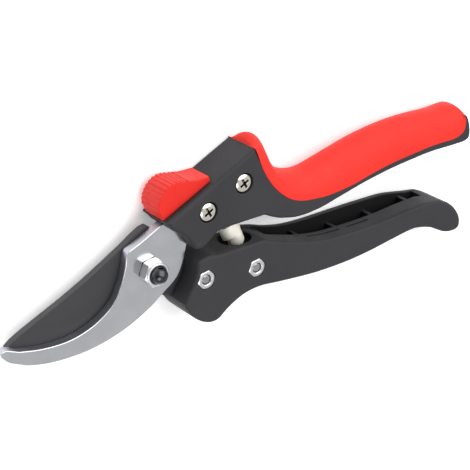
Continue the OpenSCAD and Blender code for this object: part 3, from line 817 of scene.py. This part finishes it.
def return_spring():
    """Strip wound in a double cone; its middle turn climbs by more than the strip's width."""
    a, b = Vector((*SEAT_UP, MID_Z)), Vector((*SEAT_LOW, MID_Z))
    axis = b - a
    reach, strip, thick, wide, narrow = axis.length - 0.2, 5.6, 0.6, 4.6, 2.1
    steps, turns = 40, 3
    middle = strip + 0.55
    outer = (reach - strip - middle) / 2
    frame_turn = axis.to_track_quat("Z", "Y").to_matrix()
    rings = []
    for i in range(turns * steps + 1):
        s = i / steps
        angle = 2 * math.pi * s
        r = wide - (wide - narrow) * abs(s / 1.5 - 1)
        z = 0.1 + outer * min(s, 1) + middle * max(0, min(s - 1, 1)) + outer * max(0, s - 2)
        ring = []
        for radius, h in ((r - thick, 0), (r, 0), (r, strip), (r - thick, strip)):
            p = Vector((radius * math.cos(angle), radius * math.sin(angle), z + h))
            ring.append(a + frame_turn @ p)
        rings.append(ring)
    spring = loft("volute_spring", rings)
    clean(spring)
    edge = spring.modifiers.new("edge break", "BEVEL")
    edge.width, edge.segments, edge.limit_method = 0.12 * MM, 2, "ANGLE"
    edge.angle_limit = math.radians(50)
    settle(spring)
    spring.data.shade_smooth()
    spring.data.set_sharp_from_angle(angle=math.radians(50))
    spring.data.materials.append(SPRING_NICKEL)
    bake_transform(spring)
    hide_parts("return_spring")


# ---------------------------------------------------------------- camera, light, floor

WORLD_LIGHT = 0.62
CARD_LIGHT = 0.15                # strength of the surroundings inside the dark card
FLOOR_GLOW = 0.3


def stage():
    floor = piece("floor", [(-3000, -3000, 0), (3000, -3000, 0), (3000, 3000, 0),
                            (-3000, 3000, 0)], [(0, 1, 2, 3)])
    pale = Surface("pale_floor", (0.93, 0.93, 0.93), Roughness=0.9)
    pale.paint(pale.mix(pale.spread(pale.noise(120), 0, 1), (0.92, 0.92, 0.92),
                        (0.94, 0.94, 0.94)))
    # a faint glow keeps the floor pale right up to the shears
    pale.shader.inputs["Emission Color"].default_value = (1, 1, 1, 1)
    pale.shader.inputs["Emission Strength"].default_value = FLOOR_GLOW
    floor.data.materials.append(pale.material)

    # even white surroundings with one dark card up to the left
    world = bpy.data.worlds.new("studio")
    bpy.context.scene.world = world
    world.use_nodes = True
    nodes, links = world.node_tree.nodes, world.node_tree.links
    place = nodes.new("ShaderNodeTexCoord")
    toward = nodes.new("ShaderNodeVectorMath")
    toward.operation = "DOT_PRODUCT"
    toward.inputs[1].default_value = Vector((-0.65, 0.15, 0.74)).normalized()
    links.new(place.outputs["Generated"], toward.inputs[0])
    card = nodes.new("ShaderNodeMapRange")
    card.inputs["From Min"].default_value = 0.86
    card.inputs["From Max"].default_value = 0.95
    card.inputs["To Min"].default_value = WORLD_LIGHT
    card.inputs["To Max"].default_value = CARD_LIGHT
    links.new(toward.outputs["Value"], card.inputs["Value"])
    links.new(card.outputs["Result"], nodes["Background"].inputs["Strength"])
    nodes["Background"].inputs["Color"].default_value = (1, 1, 1, 1)

    def panel(name, at, aim, size, watts):
        light = bpy.data.lights.new(name, "AREA")
        light.shape = "RECTANGLE"
        light.size, light.size_y = size
        light.energy = watts
        obj = bpy.data.objects.new(name, light)
        bpy.context.scene.collection.objects.link(obj)
        obj.location = at
        obj.rotation_euler = (Vector(aim) - Vector(at)).to_track_quat("-Z", "Y").to_euler()

    panel("key", (0.5, 0.6, 0.9), (0.04, 0, 0), (1.4, 1.4), 14)
    panel("fill", (-0.5, -0.4, 1.0), (0.04, 0, 0), (0.6, 0.6), 4)


CAMERA_AT = (-0.207594, 0.260673, 0.409368)
CAMERA_TURN = (-23.7634, -35.9597, -10.0432)      # degrees about X, Y and Z
LENS = 107.234


def camera():
    """Three-quarter view from above the jaws, with a long lens."""
    data = bpy.data.cameras.new("camera")
    data.sensor_width = 36
    data.lens = LENS
    data.clip_start = 0.01
    obj = bpy.data.objects.new("camera", data)
    obj.location = CAMERA_AT
    obj.rotation_euler = [math.radians(angle) for angle in CAMERA_TURN]
    bpy.context.scene.collection.objects.link(obj)
    bpy.context.scene.camera = obj


camera()
stage()
bpy.context.scene.view_settings.view_transform = "Standard"

upper_core()
soft_grip()
hook_plate()
for place, at in zip(("front", "rear"), UPPER_SCREWS):
    pan_screw(f"pan_screw_{place}", at, *levels(f"upper_screw_{place}"), f"upper_screw_{place}")
    low, high = levels(f"upper_nut_{place}")
    hex_nut(f"back_nut_{place}", at, NUT_AF, JAW_BORE, low, high, "upper_half", ZINC,
            f"upper_nut_{place}")
pivot()
lock_slider()
lower_body()
cutting_blade()
lower_fasteners()
return_spring()
for node in ("lock_latch", "detent_ball", "detent_spring"):
    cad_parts[node].data.materials.clear()
    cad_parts[node].data.materials.append(GREY_STEEL)
